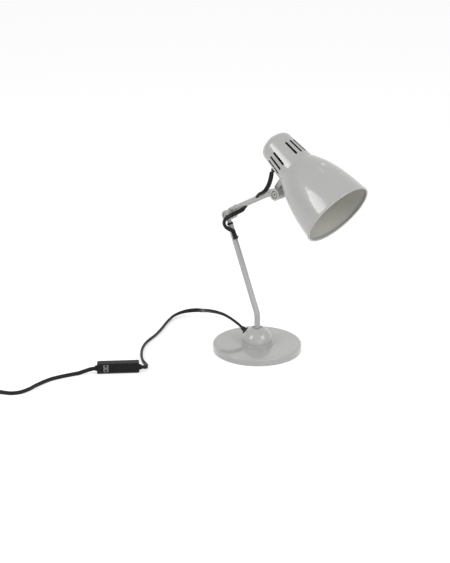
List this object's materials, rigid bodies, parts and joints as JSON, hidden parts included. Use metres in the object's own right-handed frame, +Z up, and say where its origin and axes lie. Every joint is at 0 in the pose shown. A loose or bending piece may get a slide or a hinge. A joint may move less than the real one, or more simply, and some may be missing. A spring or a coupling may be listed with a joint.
{
  "type": "desk lamp",
  "caption": "Desk lamp with a round weighted base, a leaning swivel stem, a short tilting arm, a bell shade with a vented neck and a flat mains cord with an inline switch.",
  "frame": {"origin": "centre of the underside of the base pad, on the surface the lamp stands on", "axes": "+Z up; +X the way the arm and the shade reach; +Y towards the side that the shade is carried on"},
  "size_m": [0.5514, 0.6009, 0.3806],
  "materials": {
    "paint": "satin silver-grey paint",
    "cast_weight": "rough casting",
    "pad": "matte",
    "steel": "zinc plated",
    "joint_screw": "nickel plated",
    "black_plastic": "fine satin",
    "soft_black": "matte",
    "cord": "satin",
    "slider": "satin",
    "washer": "matte",
    "lampholder": "gloss",
    "brass": "polished"
  },
  "bodies": {
    "base": {"base_cover": "paint", "base_weight": "cast_weight", "base_pad": "pad", "dome": "paint", "dome_screws": "steel", "swivel_cup": "black_plastic", "swivel_bush": "black_plastic", "dome_grommet": "soft_black", "dome_cord": "cord", "table_cord": "cord", "switch_front": "black_plastic", "switch_back": "black_plastic", "switch_contacts": "brass", "switch_screws": "steel", "outgoing_cord": "cord", "cord_coil": "cord", "coil_ties": "black_plastic", "plug_cord": "cord", "plug_body": "soft_black", "plug_pins": "steel"},
    "slider": {"switch_slider": "slider"},
    "stem": {"stem_tube": "paint", "stem_collar": "steel", "stem_boot": "soft_black", "stem_cord": "cord", "stem_knuckle": "paint", "elbow_screw": "joint_screw", "elbow_washer": "washer", "elbow_nut": "steel"},
    "arm": {"arm_rear_knuckle": "paint", "arm_tube": "paint", "arm_bushes": "soft_black", "arm_cord": "cord", "arm_front_knuckle": "paint", "head_screw": "joint_screw", "head_washer": "washer", "head_nut": "steel", "elbow_loop": "cord", "head_loop": "cord"},
    "head": {"shade_bracket": "paint", "bracket_screws": "steel", "neck_housing": "paint", "neck_gland": "soft_black", "shade": "paint", "holder_bracket": "steel", "holder_screw": "steel", "lampholder_cap": "lampholder", "lampholder_skirt": "lampholder", "holder_insert": "lampholder", "screw_shell": "brass", "centre_contact": "brass", "holder_cord": "cord"}
  },
  "joints": [
    {"name": "base_swivel", "type": "hinge", "parent": "base", "child": "stem", "pos_m": [0, 0, 0.03], "axis": [0, 0, 1], "range_deg": [-165, 165], "deforming": ["dome_cord"]},
    {"name": "elbow", "type": "hinge", "parent": "stem", "child": "arm", "pos_m": [-0.0681, 0.0055, 0.22471], "axis": [0, 1, 0], "range_deg": [-50, 30], "deforming": ["elbow_loop"]},
    {"name": "head_tilt", "type": "hinge", "parent": "arm", "child": "head", "pos_m": [0.02931, 0.0165, 0.27937], "axis": [0, 1, 0], "range_deg": [-45, 40], "deforming": ["head_loop"]},
    {"name": "switch_slide", "type": "slide", "parent": "base", "child": "slider", "axis": [0.6871, 0.7266, 0], "range_m": [0, 0.007]}
  ]
}
